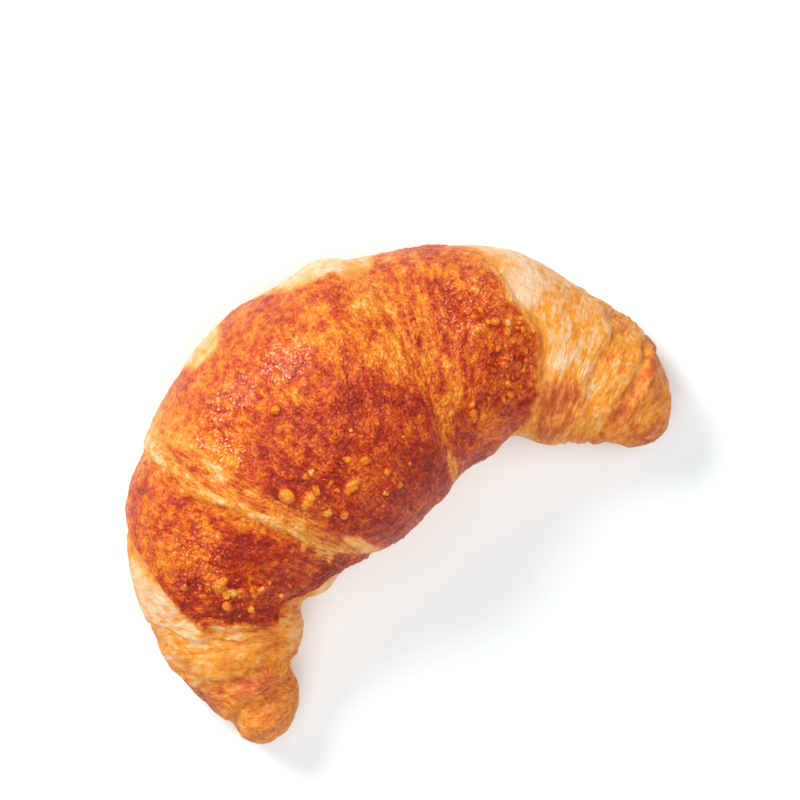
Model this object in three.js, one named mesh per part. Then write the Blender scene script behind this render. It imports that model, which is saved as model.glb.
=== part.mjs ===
// A butter croissant that lies on its flat underside: a triangle of laminated dough, rolled up and bent
// into a crescent. +Z is up, both horns point towards -Y, and the origin is under the middle of the
// crescent's box, at the level it rests on. Lengths are in millimetres. A place along the roll is given in
// degrees of the arc that it is bent to, and a place around it in degrees from the top, negative towards
// the crescent's hollow side.
import * as THREE from "three";

const arcCentre = new THREE.Vector2(-2.35, -55.6); // what the crescent is bent around
const arcRadius = 68; // how far the middle of the roll lies from there, on average
const rollRadius = 30; // how thick the roll is at its middle, as a radius
const endAt = { left: -82.5, right: 82.2 }; // where the horns stop
const capLength = 5.5; // how far a horn's blunt end takes to reach its full girth
const tipLift = { high: 1.6, from: 66, to: 84 }; // the horns' ends come off the table a little

// The roll's size along the arc: how far its two sides lie from the arc's centre, and how tall it is.
const girths = [
  { at: -84, outer: 69.4, inner: 58.0, tall: 12 },
  { at: -78, outer: 71.4, inner: 55.3, tall: 16 },
  { at: -72, outer: 73.6, inner: 52.4, tall: 19 },
  { at: -66, outer: 78.9, inner: 52.5, tall: 22.5 },
  { at: -60, outer: 83.5, inner: 49.4, tall: 27 },
  { at: -53, outer: 87.5, inner: 48.0, tall: 30.5 },
  { at: -47.5, outer: 91.4, inner: 48.2, tall: 34 },
  { at: -43, outer: 94.0, inner: 42.5, tall: 37 },
  { at: -37, outer: 96.2, inner: 40.0, tall: 40.5 },
  { at: -28, outer: 98.3, inner: 36.6, tall: 45 },
  { at: -18, outer: 99.8, inner: 32.5, tall: 49 },
  { at: -3, outer: 101.9, inner: 30.2, tall: 51.5 },
  { at: 5, outer: 101.1, inner: 31.0, tall: 51.3 },
  { at: 12, outer: 101.7, inner: 32.2, tall: 50 },
  { at: 18, outer: 98.0, inner: 33.4, tall: 48 },
  { at: 30, outer: 96.5, inner: 38.5, tall: 44.5 },
  { at: 40, outer: 95.3, inner: 42.3, tall: 40 },
  { at: 46, outer: 92.4, inner: 46.9, tall: 36 },
  { at: 54, outer: 87.7, inner: 47.0, tall: 32 },
  { at: 62, outer: 85.4, inner: 49.0, tall: 28.5 },
  { at: 70, outer: 81.8, inner: 53.2, tall: 24.5 },
  { at: 76, outer: 76.0, inner: 56.1, tall: 20 },
  { at: 84, outer: 67.6, inner: 60.4, tall: 13 },
];
const widestAt = 0.42; // height of the widest level, as a share of the roll's height
const undersideDrop = 1.16; // how much deeper the round underside would be if the table didn't flatten it
const topFullness = 0.93; // below 1 the section is plumper than an ellipse
const undersideFullness = 0.78;
const sideTuck = 0.5; // mm that the wraps' relief adds at the sides, taken off the sides first

// Each wrap of the roll ends in an edge that runs around it. front is where the edge crosses the top, slant
// how far it leans, and the two flares are how it trails back down each side: from and to are places
// around the roll, by is how far it goes along the arc, and bend is 1 for a straight run, under 1 for one
// that turns early. lip is the edge's thickness, round how far it takes to rise, over how far it hangs over
// the wrap below, ragged how far its teeth reach, and faces the way that it looks along the arc.
const straight = { from: 0, to: 90, by: 0, bend: 1 };
const edges = [
  {
    name: "left end roll", front: -71, slant: -3.2,
    inner: { from: 40, to: 90, by: 3, bend: 1 }, outer: straight,
    lip: 1.9, round: 3.2, over: 0.7, ragged: 0.3, faces: -1,
  },
  {
    name: "left flaky wrap", front: -64.4, slant: -1.2,
    inner: { from: 30, to: 90, by: 1.5, bend: 1 }, outer: { from: 45, to: 90, by: 5, bend: 1 },
    lip: 1.1, round: 1.3, over: 0.3, ragged: 1.0, faces: -1,
  },
  {
    name: "left pale wrap", front: -56.4, slant: 0,
    inner: { from: 46, to: 70, by: 7.5, bend: 0.7 }, outer: { from: 22, to: 50, by: 3.2, bend: 1 },
    lip: 0.8, round: 1.3, over: 0.2, ragged: 0.4, faces: -1,
  },
  {
    name: "left dark wrap", front: -54.2, slant: 0,
    inner: { from: 42, to: 84, by: 25, bend: 0.6 }, outer: { from: 18, to: 88, by: 18, bend: 0.55 },
    lip: 1.9, round: 1.5, over: 0.6, ragged: 0.45, faces: -1,
  },
  {
    name: "middle wrap, left edge", front: -28.6, slant: 0.6,
    inner: { from: 48, to: 90, by: 8, bend: 1 }, outer: { from: 30, to: 90, by: 3, bend: 1 },
    lip: 3.4, round: 9, over: 0, ragged: 0.6, faces: -1,
  },
  {
    name: "middle wrap, right edge", front: 21.7, slant: -4.2,
    inner: { from: 35, to: 90, by: -4, bend: 1 }, outer: { from: 50, to: 88, by: -12, bend: 1 },
    lip: 2.8, round: 3.4, over: 0.3, ragged: 0.5, faces: 1,
  },
  {
    name: "right dark wrap", front: 51, slant: 0,
    inner: { from: 25, to: 90, by: -7.8, bend: 1.4 }, outer: { from: -20, to: 90, by: -18, bend: 1 },
    lip: 2.3, round: 1.8, over: 0.7, ragged: 0.7, faces: 1,
  },
  {
    name: "right flaky wrap", front: 61, slant: -1,
    inner: straight, outer: straight,
    lip: 1.0, round: 1.6, over: 0.3, ragged: 0.9, faces: 1,
  },
  {
    name: "right thin wrap", front: 68.8, slant: -0.6,
    inner: { from: 20, to: 90, by: -2, bend: 1 }, outer: { from: 40, to: 90, by: -2, bend: 1 },
    lip: 1.2, round: 1.8, over: 0.4, ragged: 0.5, faces: 1,
  },
  {
    name: "right end roll", front: 74.2, slant: 0,
    inner: { from: 20, to: 90, by: -3, bend: 1 }, outer: { from: 10, to: 90, by: -5.5, bend: 1 },
    lip: 1.7, round: 2.2, over: 0.6, ragged: 0.4, faces: 1,
  },
];
const sideShare = 0.55; // how much of a lip is left at the crescent's two sides
const undersideShare = 0.12; // and under it, where the dough was pressed on the tray
const flatRise = 1; // how far a wrap that has no lip of its own stands out
const sinksAfter = 0.35; // share of a wrap's width past its lip before it sinks under the next wrap
const hangReach = 1.6; // how far back an overhanging lip bulges, as a share of round
const raggedness = { first: 6, second: 11 }; // how many teeth a ragged edge has around the roll

// The crust's unevenness is a sum of waves: along is how fast one runs per radian of the arc, around how
// often it rises around the roll, and high how far it stands out. Crags are the flaky horns' own.
const lumps = [
  { along: 9.5, around: 2, shift: 0.7, high: 0.2 },
  { along: 9.5, around: -2, shift: 2.1, high: 0.12 },
  { along: 22, around: -3, shift: 1, high: 0.14 },
  { along: 35, around: 5, shift: 0, high: 0.11 },
];
const crags = [
  { along: 34, around: 5, shift: 0, high: 0.2 },
  { along: 30, around: -9, shift: 1, high: 0.2 },
];
const cragsGrow = { from: 50, to: 62 }; // where along the arc, on both sides, the crags begin
const unevenBelow = 0.3; // share of the unevenness that the underside keeps

// The largest bubbles in the crust: at is along the arc, side around the roll; then how long (around the
// roll), wide and high the bubble is.
const bubbles = [
  { at: -19.6, side: -12, long: 5.2, wide: 3.4, high: 1.3 },
  { at: -17.2, side: -22, long: 3.2, wide: 7.0, high: 1.3 },
  { at: -7.2, side: -34, long: 3.4, wide: 6.4, high: 1.3 },
  { at: -45.2, side: -20, long: 4.6, wide: 2.4, high: 0.9 },
  { at: -49.2, side: -14, long: 3.6, wide: 2.6, high: 0.9 },
  { at: 42.3, side: -7, long: 3.4, wide: 2.6, high: 0.9 },
  { at: 35.4, side: 10, long: 4.0, wide: 2.6, high: 0.8 },
  { at: 3.4, side: -40, long: 4.0, wide: 4.0, high: 0.9 },
  { at: 8.0, side: -28, long: 3.6, wide: 3.6, high: 0.8 },
];

const columns = 52; // facets around the roll
const rowGap = 2.4; // mm between sections on a wrap's back
const lipRows = [0.25, 0.7, 1.5]; // and where the first ones past a lip are, as shares of round
const capRows = [0.02, 0.09, 0.22, 0.42, 0.7, 1]; // or past a horn's end, as shares of capLength
const leastGap = 0.005; // rows closer than this share of a wrap are left out

const rad = THREE.MathUtils.degToRad;
const share = (value, from, to) => THREE.MathUtils.clamp((value - from) / (to - from), 0, 1);
const smooth = (t) => t * t * (3 - 2 * t);

// A smooth curve through one of the girths' sizes.
function girth(key, at) {
  const last = girths.length - 2;
  const i = Math.min(last, Math.max(0, girths.findIndex((g) => g.at > at) - 1));
  const slope = (k) => {
    const before = girths[Math.max(0, k - 1)];
    const after = girths[Math.min(last + 1, k + 1)];
    return (after[key] - before[key]) / (after.at - before.at);
  };
  const [a, b] = [girths[i], girths[i + 1]];
  const gap = b.at - a.at;
  const t = share(at, a.at, b.at);
  const bow = t * (1 - t) * gap * (slope(i) * (1 - t) - slope(i + 1) * t);
  return THREE.MathUtils.lerp(a[key], b[key], smooth(t)) + bow;
}

// Where an edge lies along the arc, at a place around the roll. Under the roll it runs straight on.
function edgeAt(edge, around) {
  const side = Math.abs(around) > 90 ? Math.sign(around) * 90 : around;
  const flare = (f, angle) => f.by * share(angle, f.from, f.to) ** f.bend;
  const tooth = (count, a, shift) => Math.sin(count * rad(a) + shift);
  const teeth = (a) => tooth(raggedness.first, a, edge.front) + tooth(raggedness.second, a, 0) / 2;
  const ragged = (a) => (edge.ragged * teeth(a)) / rad(arcRadius);
  const flares = (a) => flare(edge.inner, -a) + flare(edge.outer, a);
  const seen = (a) => edge.front + edge.slant * Math.sin(rad(a)) + flares(a) + ragged(a);
  const across = Math.sin(rad(around)); // runs from one side to the other below the roll too
  const below = THREE.MathUtils.lerp(seen(-90), seen(90), (across + 1) / 2);
  return Math.abs(around) > 90 ? below : seen(side);
}

// How far a lip stands out above the roll's plain form, at a distance from its edge.
function lipRise(edge, distance) {
  const t = share(distance, 0, edge.round);
  return edge.lip * Math.sqrt(1 - (1 - t) ** 2);
}

// How far a lip bulges over the wrap below it.
function overhang(edge, distance) {
  return edge.faces * edge.over * Math.sin(Math.PI * share(distance, 0, hangReach * edge.round));
}

// How much of the relief is left at a place around the roll.
function reliefShare(around) {
  const angle = Math.abs(around);
  if (angle < 90) return THREE.MathUtils.lerp(1, sideShare, smooth(share(angle, 35, 90)));
  return THREE.MathUtils.lerp(sideShare, undersideShare, smooth(share(angle, 90, 125)));
}

// The crust's unevenness, in mm.
function lumpiness(at, around) {
  const height = (w) => w.high * Math.sin(rad(at) * w.along + rad(around) * w.around + w.shift);
  const sum = (waves) => waves.reduce((total, w) => total + height(w), 0);
  return sum(lumps) + sum(crags) * smooth(share(Math.abs(at), cragsGrow.from, cragsGrow.to));
}

// How far the large bubbles stand out there. reach is the place's distance from the arc's centre.
function bubbleRise(at, around, reach) {
  return bubbles.reduce((sum, b) => {
    const along = (rad(at - b.at) * reach) / (b.wide / 2);
    const across = (rad(around - b.side) * rollRadius) / (b.long / 2);
    return sum + b.high * Math.exp(-(along ** 2 + across ** 2));
  }, 0);
}

// A point of the crust. Before and after are the edges of the wrap that it lies on, null at a horn's end.
function crustPoint(before, after, part, around) {
  const start = before ? edgeAt(before, around) : endAt.left;
  const end = after ? edgeAt(after, around) : endAt.right;
  const at = THREE.MathUtils.lerp(start, end, part);
  const tuck = sideTuck * reliefShare(around);
  const [outer, inner] = [girth("outer", at) - tuck, girth("inner", at) + tuck];
  const [middle, half, tall] = [(outer + inner) / 2, (outer - inner) / 2, girth("tall", at)];
  const fromEnd = rad(Math.min(at - endAt.left, endAt.right - at)) * middle;
  const cap = Math.sqrt(1 - (1 - share(fromEnd, 0, capLength)) ** 2);

  // The plain section: a plump dome over a rounder, flatter underside.
  const [sine, cosine] = [Math.sin(rad(around)), Math.cos(rad(around))];
  const above = cosine >= 0;
  const fullness = above ? topFullness : undersideFullness;
  const level = widestAt * tall;
  const depth = above ? tall - level : level * undersideDrop;
  const out = Math.sign(sine) * Math.abs(sine) ** fullness;
  const up = Math.sign(cosine) * Math.abs(cosine) ** fullness;
  const normal = new THREE.Vector2(out / half, up / depth).normalize();

  // The wraps' lips, which sink back to nothing where the next wrap covers them.
  const width = rad(end - start) * middle;
  const left = before && before.faces < 0 ? lipRise(before, width * part) : null;
  const right = after && after.faces > 0 ? lipRise(after, width * (1 - part)) : null;
  let rise = left === null && right === null ? flatRise : Math.min(left ?? Infinity, right ?? Infinity);
  if (after && after.faces < 0) rise *= 1 - smooth(share(part, sinksAfter, 1));
  if (before && before.faces > 0) rise *= 1 - smooth(share(part, 1 - sinksAfter, 0));
  let hang = 0;
  if (left !== null) hang += overhang(before, width * part) * reliefShare(around);
  if (right !== null) hang += overhang(after, width * (1 - part)) * reliefShare(around);

  const unevenShare = cap * Math.max(reliefShare(around), unevenBelow);
  let stand = rise * reliefShare(around) + unevenShare * lumpiness(at, around);
  if (above) stand += bubbleRise(at, around, middle);
  const radius = middle + cap * half * out + normal.x * stand;
  const lift = tipLift.high * smooth(share(Math.abs(at), tipLift.from, tipLift.to));
  const height = lift + level + cap * depth * up + normal.y * stand;
  const turn = rad(at) + hang / middle;
  return new THREE.Vector3(
    arcCentre.x + radius * Math.sin(turn),
    arcCentre.y + radius * Math.cos(turn),
    Math.max(0, height),
  );
}

// The rows of each wrap: close together at a lip and at a horn's end, even on the wrap's back.
function rowsOf(before, after) {
  const width = rad((after ? after.front : endAt.right) - (before ? before.front : endAt.left)) * arcRadius;
  const near = (edge) => lipRows.map((n) => (n * edge.round) / width);
  const cap = capRows.map((n) => (n * capLength) / width);
  const low = !before ? cap : before.faces < 0 ? near(before) : [];
  const high = (!after ? cap : after.faces > 0 ? near(after) : []).map((n) => 1 - n).reverse();
  const first = low.length ? low.at(-1) : 0;
  const last = high.length ? high[0] : 1;
  const steps = Math.max(1, Math.round(((last - first) * width) / rowGap));
  const back = [];
  for (let i = low.length ? 1 : 0; i < steps; i++) back.push(first + ((last - first) * i) / steps);
  const rows = [...low, ...back, ...high].filter((n) => n > leastGap && n < 1 - leastGap);
  return before ? [0, ...rows] : rows;
}

// The crust as one closed skin: a point at each horn's end and a ring of facets for every row between.
function crustGeometry() {
  const positions = [];
  const faces = [];
  const rings = [];
  const add = (point) => {
    positions.push(...point.toArray());
    return positions.length / 3 - 1;
  };
  const bounds = [null, ...edges, null];
  for (let wrap = 0; wrap + 1 < bounds.length; wrap++) {
    for (const part of rowsOf(bounds[wrap], bounds[wrap + 1])) {
      const ring = [];
      for (let i = 0; i < columns; i++) {
        ring.push(add(crustPoint(bounds[wrap], bounds[wrap + 1], part, (360 * (i + 0.5)) / columns - 180)));
      }
      rings.push(ring);
    }
  }
  for (let row = 0; row + 1 < rings.length; row++) {
    for (let i = 0; i < columns; i++) {
      const next = (i + 1) % columns;
      const [a, b, c, d] = [rings[row][i], rings[row][next], rings[row + 1][next], rings[row + 1][i]];
      faces.push(a, c, b, a, d, c);
    }
  }
  const leftPole = add(crustPoint(null, edges[0], 0, 0));
  const rightPole = add(crustPoint(edges.at(-1), null, 1, 0));
  const lastRing = rings.at(-1);
  for (let i = 0; i < columns; i++) {
    const next = (i + 1) % columns;
    faces.push(leftPole, rings[0][i], rings[0][next]);
    faces.push(rightPole, lastRing[next], lastRing[i]);
  }
  const geometry = new THREE.BufferGeometry();
  geometry.setAttribute("position", new THREE.Float32BufferAttribute(positions, 3));
  geometry.setIndex(faces);
  geometry.computeVertexNormals();
  return geometry;
}

const crust = new THREE.MeshStandardMaterial({ color: "#c4652a", roughness: 0.55, metalness: 0 });
const croissant = new THREE.Mesh(crustGeometry(), crust);
croissant.name = "croissant";

const part = new THREE.Group();
part.add(croissant);
export default part;
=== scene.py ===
import math
import bpy
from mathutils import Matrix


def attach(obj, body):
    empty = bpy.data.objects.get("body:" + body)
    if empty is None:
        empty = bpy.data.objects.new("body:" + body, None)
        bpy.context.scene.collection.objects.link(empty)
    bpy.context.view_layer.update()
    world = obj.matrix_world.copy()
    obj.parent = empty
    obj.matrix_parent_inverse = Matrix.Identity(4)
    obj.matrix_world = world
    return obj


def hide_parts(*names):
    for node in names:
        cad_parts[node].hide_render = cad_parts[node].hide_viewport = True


# A curved butter croissant, rolled from laminated dough and glazed with egg, on a pale table.
# Lengths in the dictionaries are millimetres, angles are degrees, and the meshes are in metres.
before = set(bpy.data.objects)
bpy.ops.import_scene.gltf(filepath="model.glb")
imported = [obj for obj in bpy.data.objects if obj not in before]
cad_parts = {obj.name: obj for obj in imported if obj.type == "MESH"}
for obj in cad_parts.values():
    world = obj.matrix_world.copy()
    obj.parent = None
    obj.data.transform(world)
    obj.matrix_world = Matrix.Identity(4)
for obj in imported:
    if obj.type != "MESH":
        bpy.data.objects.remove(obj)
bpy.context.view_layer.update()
metre = 1000.0  # in millimetres


class Wire:  # one output of a node: plain sums and products of wires add Math nodes
    def __init__(self, work, socket):
        self.work = work
        self.socket = socket

    def out(self, name):  # another output of the same node
        return Wire(self.work, self.socket.node.outputs[name])

    def __add__(self, other):
        return self.work.maths("ADD", self, other)

    def __radd__(self, other):
        return self.work.maths("ADD", other, self)

    def __sub__(self, other):
        return self.work.maths("SUBTRACT", self, other)

    def __rsub__(self, other):
        return self.work.maths("SUBTRACT", other, self)

    def __mul__(self, other):
        return self.work.maths("MULTIPLY", self, other)

    def __rmul__(self, other):
        return self.work.maths("MULTIPLY", other, self)

    def __truediv__(self, other):
        return self.work.maths("DIVIDE", self, other)

    def __rtruediv__(self, other):
        return self.work.maths("DIVIDE", other, self)

    def __pow__(self, other):
        return self.work.maths("POWER", self, other)

    def __neg__(self):
        return self.work.maths("MULTIPLY", self, -1.0)


class NodeWork:  # adds nodes to one tree
    def __init__(self, tree):
        self.tree = tree

    def node(self, kind, settings=None, inputs=None, output=0):
        made = self.tree.nodes.new(kind)
        for name, value in (settings or {}).items():
            if name == "stops":
                self.setStops(made.color_ramp, value)
            elif name == "points":
                self.setPoints(made.mapping, value)
            else:
                setattr(made, name, value)
        for name, value in (inputs or {}).items():
            self.feed(made.inputs[name], value)
        return Wire(self, made.outputs[output]) if made.outputs else None

    def feed(self, socket, value):
        if isinstance(value, Wire):
            self.tree.links.new(value.socket, socket)
        else:
            socket.default_value = value

    def setStops(self, ramp, stops):
        while len(ramp.elements) < len(stops):
            ramp.elements.new(1.0)
        for element, (place, colour) in zip(ramp.elements, stops):
            element.position = place
            element.color = colour

    def setPoints(self, mapping, points):
        curve = mapping.curves[0]
        while len(curve.points) < len(points):
            curve.points.new(1.0, 1.0)
        for point, (x, y) in zip(curve.points, points):
            point.location = (x, y)
        mapping.update()

    def maths(self, operation, *values):
        return self.node("ShaderNodeMath", {"operation": operation}, dict(enumerate(values)))

    def share(self, value, low, high, soft=False):  # 0 at low, 1 at high, and never past them
        kind = "SMOOTHSTEP" if soft else "LINEAR"
        limits = {0: value, 1: low, 2: high, 3: 0.0, 4: 1.0}
        return self.node("ShaderNodeMapRange", {"interpolation_type": kind, "clamp": True}, limits)

    def blend(self, factor, low, high):  # low where factor is 0
        return self.node("ShaderNodeMix", {"data_type": "FLOAT"}, {0: factor, 2: low, 3: high})

    def tint(self, factor, colour, other):  # the other colour where factor is 1
        values = {0: factor, 6: colour, 7: other}
        return self.node("ShaderNodeMix", {"data_type": "RGBA"}, values, output=2)

    def sine(self, degrees):
        return self.maths("SINE", degrees * (math.pi / 180))

    def cosine(self, degrees):
        return self.maths("COSINE", degrees * (math.pi / 180))

    def group(self, tree, values, output=0):
        return self.node("GeometryNodeGroup", {"node_tree": tree}, values, output)

    def vector(self, operation, *values):
        return self.node("ShaderNodeVectorMath", {"operation": operation}, dict(enumerate(values)))

    def scaled(self, vector, factor):
        return self.node("ShaderNodeVectorMath", {"operation": "SCALE"}, {0: vector, "Scale": factor})

    def join(self, x, y, z):
        return self.node("ShaderNodeCombineXYZ", inputs={0: x, 1: y, 2: z})

    def stretched(self, vector, x, y, z):
        return self.vector("MULTIPLY", vector, (x, y, z))

    def attribute(self, name, kind="FLOAT"):  # in Geometry Nodes
        return self.node("GeometryNodeInputNamedAttribute", {"data_type": kind}, {"Name": name})

    def keep(self, geometry, name, value, kind="FLOAT"):
        settings = {"data_type": kind, "domain": "POINT"}
        values = {0: geometry, "Name": name, "Value": value}
        return self.node("GeometryNodeStoreNamedAttribute", settings, values)

    def noise(self, vector, scale, detail=2.0, roughness=0.5):
        values = {"Vector": vector, "Scale": scale, "Detail": detail, "Roughness": roughness}
        return self.node("ShaderNodeTexNoise", inputs=values)

    def curve(self, value, low, high, top, points):  # a smooth curve through (value, height) points
        places = [((x - low) / (high - low), y / top) for x, y in points]
        along = self.share(value, low, high)
        return self.node("ShaderNodeFloatCurve", {"points": places}, {1: along}) * top


def linear(*levels):  # red, green and blue as read on a screen, 0 to 255
    shares = [level / 255 for level in levels]
    return tuple(s / 12.92 if s < 0.04 else ((s + 0.055) / 1.055) ** 2.4 for s in shares) + (1.0,)


def newTree(name, sizes):  # a Geometry Nodes tree with named inputs for its sizes
    tree = bpy.data.node_groups.new(name, "GeometryNodeTree")
    tree.interface.new_socket("Geometry", in_out="INPUT", socket_type="NodeSocketGeometry")
    for label, value in sizes.items():
        kind = "NodeSocketInt" if isinstance(value, int) else "NodeSocketFloat"
        tree.interface.new_socket(label, in_out="INPUT", socket_type=kind).default_value = value
    tree.interface.new_socket("Geometry", in_out="OUTPUT", socket_type="NodeSocketGeometry")
    work = NodeWork(tree)
    return tree, work, work.node("NodeGroupInput")


def endWith(work, *results):
    output = work.tree.nodes.new("NodeGroupOutput")
    for socket, result in zip(output.inputs, results):
        work.feed(socket, result)


def ruleTree(name, inputs, outputs, vectors=()):  # a group that works out numbers or places
    tree = bpy.data.node_groups.new(name, "GeometryNodeTree")
    for way, labels in (("INPUT", inputs), ("OUTPUT", outputs)):
        for label in labels:
            kind = "NodeSocketVector" if label in vectors else "NodeSocketFloat"
            tree.interface.new_socket(label, in_out=way, socket_type=kind)
    work = NodeWork(tree)
    return tree, work, work.node("NodeGroupInput")


def finishTree(work, geometry, material):
    whole = work.node("GeometryNodeRealizeInstances", inputs={0: geometry})
    endWith(work, work.node("GeometryNodeSetMaterial", inputs={"Geometry": whole, "Material": material}))


def madeBy(tree, name, sizes, mesh=None):  # runs the tree and keeps the result as a plain mesh
    maker = bpy.data.objects.new(name + "Maker", mesh or bpy.data.meshes.new(name + "Start"))
    bpy.context.scene.collection.objects.link(maker)
    modifier = maker.modifiers.new("Shape", "NODES")
    modifier.node_group = tree
    inputs = [item for item in tree.interface.items_tree if item.in_out == "INPUT"]
    sockets = {item.name: item.identifier for item in inputs}
    for label, value in sizes.items():
        modifier[sockets[label]] = value
    graph = bpy.context.evaluated_depsgraph_get()
    shown = maker.evaluated_get(graph)
    result = bpy.data.meshes.new_from_object(shown, preserve_all_data_layers=True, depsgraph=graph)
    maker.modifiers.remove(modifier)
    bpy.data.objects.remove(maker)
    result.name = name
    piece = bpy.data.objects.new(name, result)
    bpy.context.scene.collection.objects.link(piece)
    return piece


# The roll: its sides and height along the arc, and the edge of each wrap, nearly as the solid has them.
roll = {
    "centre": (-2.35, -55.6),  # what the crescent is bent around
    "radius": 68.0,  # from there to the middle of the roll
    "thickness": 30.0,  # the roll's radius at its middle
    "leftEnd": -82.5,
    "rightEnd": 82.2,
    "capLength": 5.5,
    "tipLift": (1.6, 66.0, 84.0),  # how high, from and to
    "from": -84.0,
    "to": 84.0,
    "curveTop": 110.0,  # above all that the three curves reach
    "outer": [(-84, 69.4), (-78, 71.4), (-72, 73.6), (-66, 78.9), (-60, 83.5), (-53, 87.5), (-47.5, 91.4),
              (-43, 94.0), (-37, 96.2), (-28, 98.3), (-18, 99.8), (-3, 101.9), (5, 101.1), (12, 101.7),
              (18, 98.0), (30, 96.5), (40, 95.3), (46, 92.4), (54, 87.7), (62, 85.4), (70, 81.8),
              (76, 76.0), (84, 67.6)],
    "inner": [(-84, 58.0), (-78, 55.3), (-72, 52.4), (-66, 52.5), (-60, 49.4), (-53, 48.0), (-47.5, 48.2),
              (-43, 42.5), (-37, 40.0), (-28, 36.6), (-18, 32.5), (-3, 30.2), (5, 31.0), (12, 32.2),
              (18, 33.4), (30, 38.5), (40, 42.3), (46, 46.9), (54, 47.0), (62, 49.0), (70, 53.2),
              (76, 56.1), (84, 60.4)],
    "tall": [(-84, 12), (-78, 16), (-72, 19), (-66, 22.5), (-60, 27), (-53, 30.5), (-47.5, 34), (-43, 37),
             (-37, 40.5), (-28, 45), (-18, 49), (-3, 51.5), (5, 51.3), (12, 50), (18, 48), (30, 44.5),
             (40, 40), (46, 36), (54, 32), (62, 28.5), (70, 24.5), (76, 20), (84, 13)],
    "widestAt": 0.42,  # share of the height
    "undersideDrop": 1.16,
    "topFullness": 0.93,
    "undersideFullness": 0.78,
    "sideTuck": 0.5,
    "sideShare": 0.55,  # how much of a lip is left at the sides
    "undersideShare": 0.12,
    "unevenBelow": 0.3,
    "flatRise": 1.0,
    "sinksAfter": 0.35,
    "hangReach": 1.6,
    "closing": 0.35,  # share of the girth in which each end comes to one point
    "reliefFades": (35.0, 125.0),  # degrees around: it starts above the side and ends below it
    "teeth": (6, 11),  # of a ragged edge, around the roll
    "smallTeeth": 0.5,
    "easing": 0.2,  # so that an edge bends off without a corner
    "lumps": [(9.5, 2, 0.7, 0.2), (9.5, -2, 2.1, 0.12), (22, -3, 1, 0.14), (35, 5, 0, 0.11)],
    "crags": [(34, 5, 0, 0.2), (30, -9, 1, 0.2)],  # along, around, shift and height of each wave
    "cragsFrom": (50.0, 62.0),
}
atSide = 90.0  # degrees around the roll, from its top to either side
# Each edge: front, slant; inner and outer flare (from, to, by, bend); lip, round, over, ragged, faces.
edges = [
    (-71, -3.2, (40, 90, 3, 1), None, 1.9, 3.2, 0.7, 0.3, -1),  # left end roll
    (-64.4, -1.2, (30, 90, 1.5, 1), (45, 90, 5, 1), 1.1, 1.3, 0.3, 1.0, -1),  # left flaky wrap
    (-56.4, 0, (46, 70, 7.5, 0.7), (22, 50, 3.2, 1), 0.8, 1.3, 0.2, 0.4, -1),  # left pale wrap
    (-54.2, 0, (36, 84, 25, 0.8), (14, 84, 19, 0.55), 1.9, 1.5, 0.6, 0.45, -1),  # left dark wrap
    (-28.6, 0.6, (48, 90, 8, 1), (30, 90, 3, 1), 2.9, 10, 0, 0.8, -1),  # middle wrap, left
    (21.7, -4.2, (35, 90, -4, 1), (50, 88, -12, 1), 1.3, 5.0, 0.0, 0.5, 1),  # middle wrap, right
    (51, 0, (25, 90, -7.8, 1.4), (-20, 90, -21, 1), 0.9, 1.8, 0.1, 0.7, 1),  # right dark wrap
    (61, -1, None, None, 1.0, 1.6, 0.3, 0.9, 1),  # right flaky wrap
    (68.8, -0.6, (20, 90, -2, 1), (40, 90, -2, 1), 1.2, 1.8, 0.4, 0.5, 1),  # right thin wrap
    (74.2, 0, (20, 90, -3, 1), (10, 90, -5.5, 1), 1.7, 2.2, 0.6, 0.4, 1),  # right end roll
]
edges = [dict(zip(("front", "slant", "inner", "outer", "lip", "round", "over", "ragged", "faces"), e))
         for e in edges]
edgeLabels = ["Front", "Slant", "Ragged", "Shift", "Inner From", "Inner To", "Inner By", "Inner Bend",
              "Outer From", "Outer To", "Outer By", "Outer Bend"]


def edgeTree():  # where an edge lies along the arc, on the top and the sides
    tree, work, given = ruleTree("wrapEdge", ["Around"] + edgeLabels, ["At"])
    around = given.out("Around")
    first, second = roll["teeth"]
    teeth = work.sine(around * first + given.out("Shift"))
    teeth = teeth + work.sine(around * second) * roll["smallTeeth"]
    at = given.out("Front") + given.out("Slant") * work.sine(around) + teeth * given.out("Ragged")
    for side, angle in (("Inner", -around), ("Outer", around)):
        reach = work.share(angle, given.out(side + " From"), given.out(side + " To"))
        eased = reach * reach / (reach + roll["easing"]) * (1.0 + roll["easing"])
        at = at + given.out(side + " By") * eased ** given.out(side + " Bend")
    endWith(work, at)
    return tree


def edgeValues(edge):
    straight = (0.0, atSide, 0.0, 1.0)
    ragged = edge["ragged"] / math.radians(roll["radius"])
    numbers = [edge["front"], edge["slant"], ragged, math.degrees(edge["front"])]
    for side in ("inner", "outer"):
        numbers.extend(edge[side] or straight)
    return dict(zip(edgeLabels, numbers))


def edgeWires(work, around):  # and under the roll, where each edge runs straight on
    onSide = work.maths("MINIMUM", work.maths("MAXIMUM", around, -atSide), atSide)
    isBelow = work.maths("GREATER_THAN", work.maths("ABSOLUTE", around), atSide)
    towardsOuter = (work.sine(around) + 1.0) / 2.0
    rule = edgeTree()
    wires = []
    for edge in edges:
        values = edgeValues(edge)
        seen = work.group(rule, {"Around": onSide, **values})
        inner = work.group(rule, {"Around": -atSide, **values})
        outer = work.group(rule, {"Around": atSide, **values})
        wires.append(work.blend(isBelow, seen, work.blend(towardsOuter, inner, outer)))
    return wires


def lipRise(work, edge, distance):  # a quarter round, from the lip's foot
    t = work.share(distance, 0.0, edge["round"])
    return work.maths("SQRT", 1.0 - (1.0 - t) * (1.0 - t)) * edge["lip"]


def overhang(work, edge, distance):  # how far the lip leans over its neighbour
    back = work.share(distance, 0.0, roll["hangReach"] * edge["round"])
    return work.sine(back * 180.0) * (edge["faces"] * edge["over"])


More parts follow.
